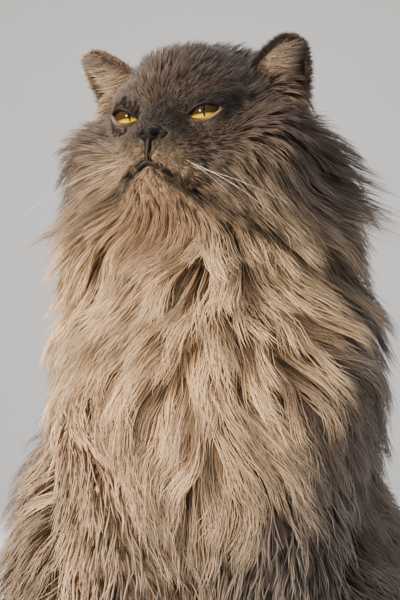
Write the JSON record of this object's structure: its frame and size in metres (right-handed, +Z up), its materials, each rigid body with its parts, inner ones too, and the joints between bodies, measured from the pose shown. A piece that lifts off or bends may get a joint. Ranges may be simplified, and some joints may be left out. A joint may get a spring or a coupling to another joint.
{
  "type": "sitting persian cat",
  "caption": "Sitting long-haired grey cat with a flat face, amber eyes and a full ruff, head turned to its right, as a still life-size figure.",
  "frame": {"origin": "on the floor, near the middle of the flat that the rump rests on", "axes": "+Z up; -Y the way the body faces, give or take 2 degrees; +X to the cat's own left"},
  "size_m": [0.2805, 0.2851, 0.3797],
  "materials": {
    "nose_leather": "moist, fine grained",
    "eye": "wet gloss",
    "face_fur": "short dense hair",
    "chin_fur": "short hair, warm tint",
    "ear_fur": "short hair over thin skin",
    "ruff_fur": "long soft hair",
    "body_fur": "long wavy hair with a dark undercoat",
    "foot_fur": "short hair",
    "tail_fur": "long soft hair"
  },
  "bodies": {
    "root": {"nose": "nose_leather", "eye_left": "eye", "eye_right": "eye", "head": "face_fur", "jaw": "chin_fur", "ear_left": "ear_fur", "ear_right": "ear_fur", "neck": "ruff_fur", "torso": "body_fur", "thigh_left": "body_fur", "foreleg_left": "body_fur", "hind_foot_left": "foot_fur", "forepaw_left": "foot_fur", "thigh_right": "body_fur", "foreleg_right": "body_fur", "hind_foot_right": "foot_fur", "forepaw_right": "foot_fur", "tail_root": "tail_fur", "tail_middle": "tail_fur", "tail_tip": "tail_fur"}
  },
  "joints": []
}
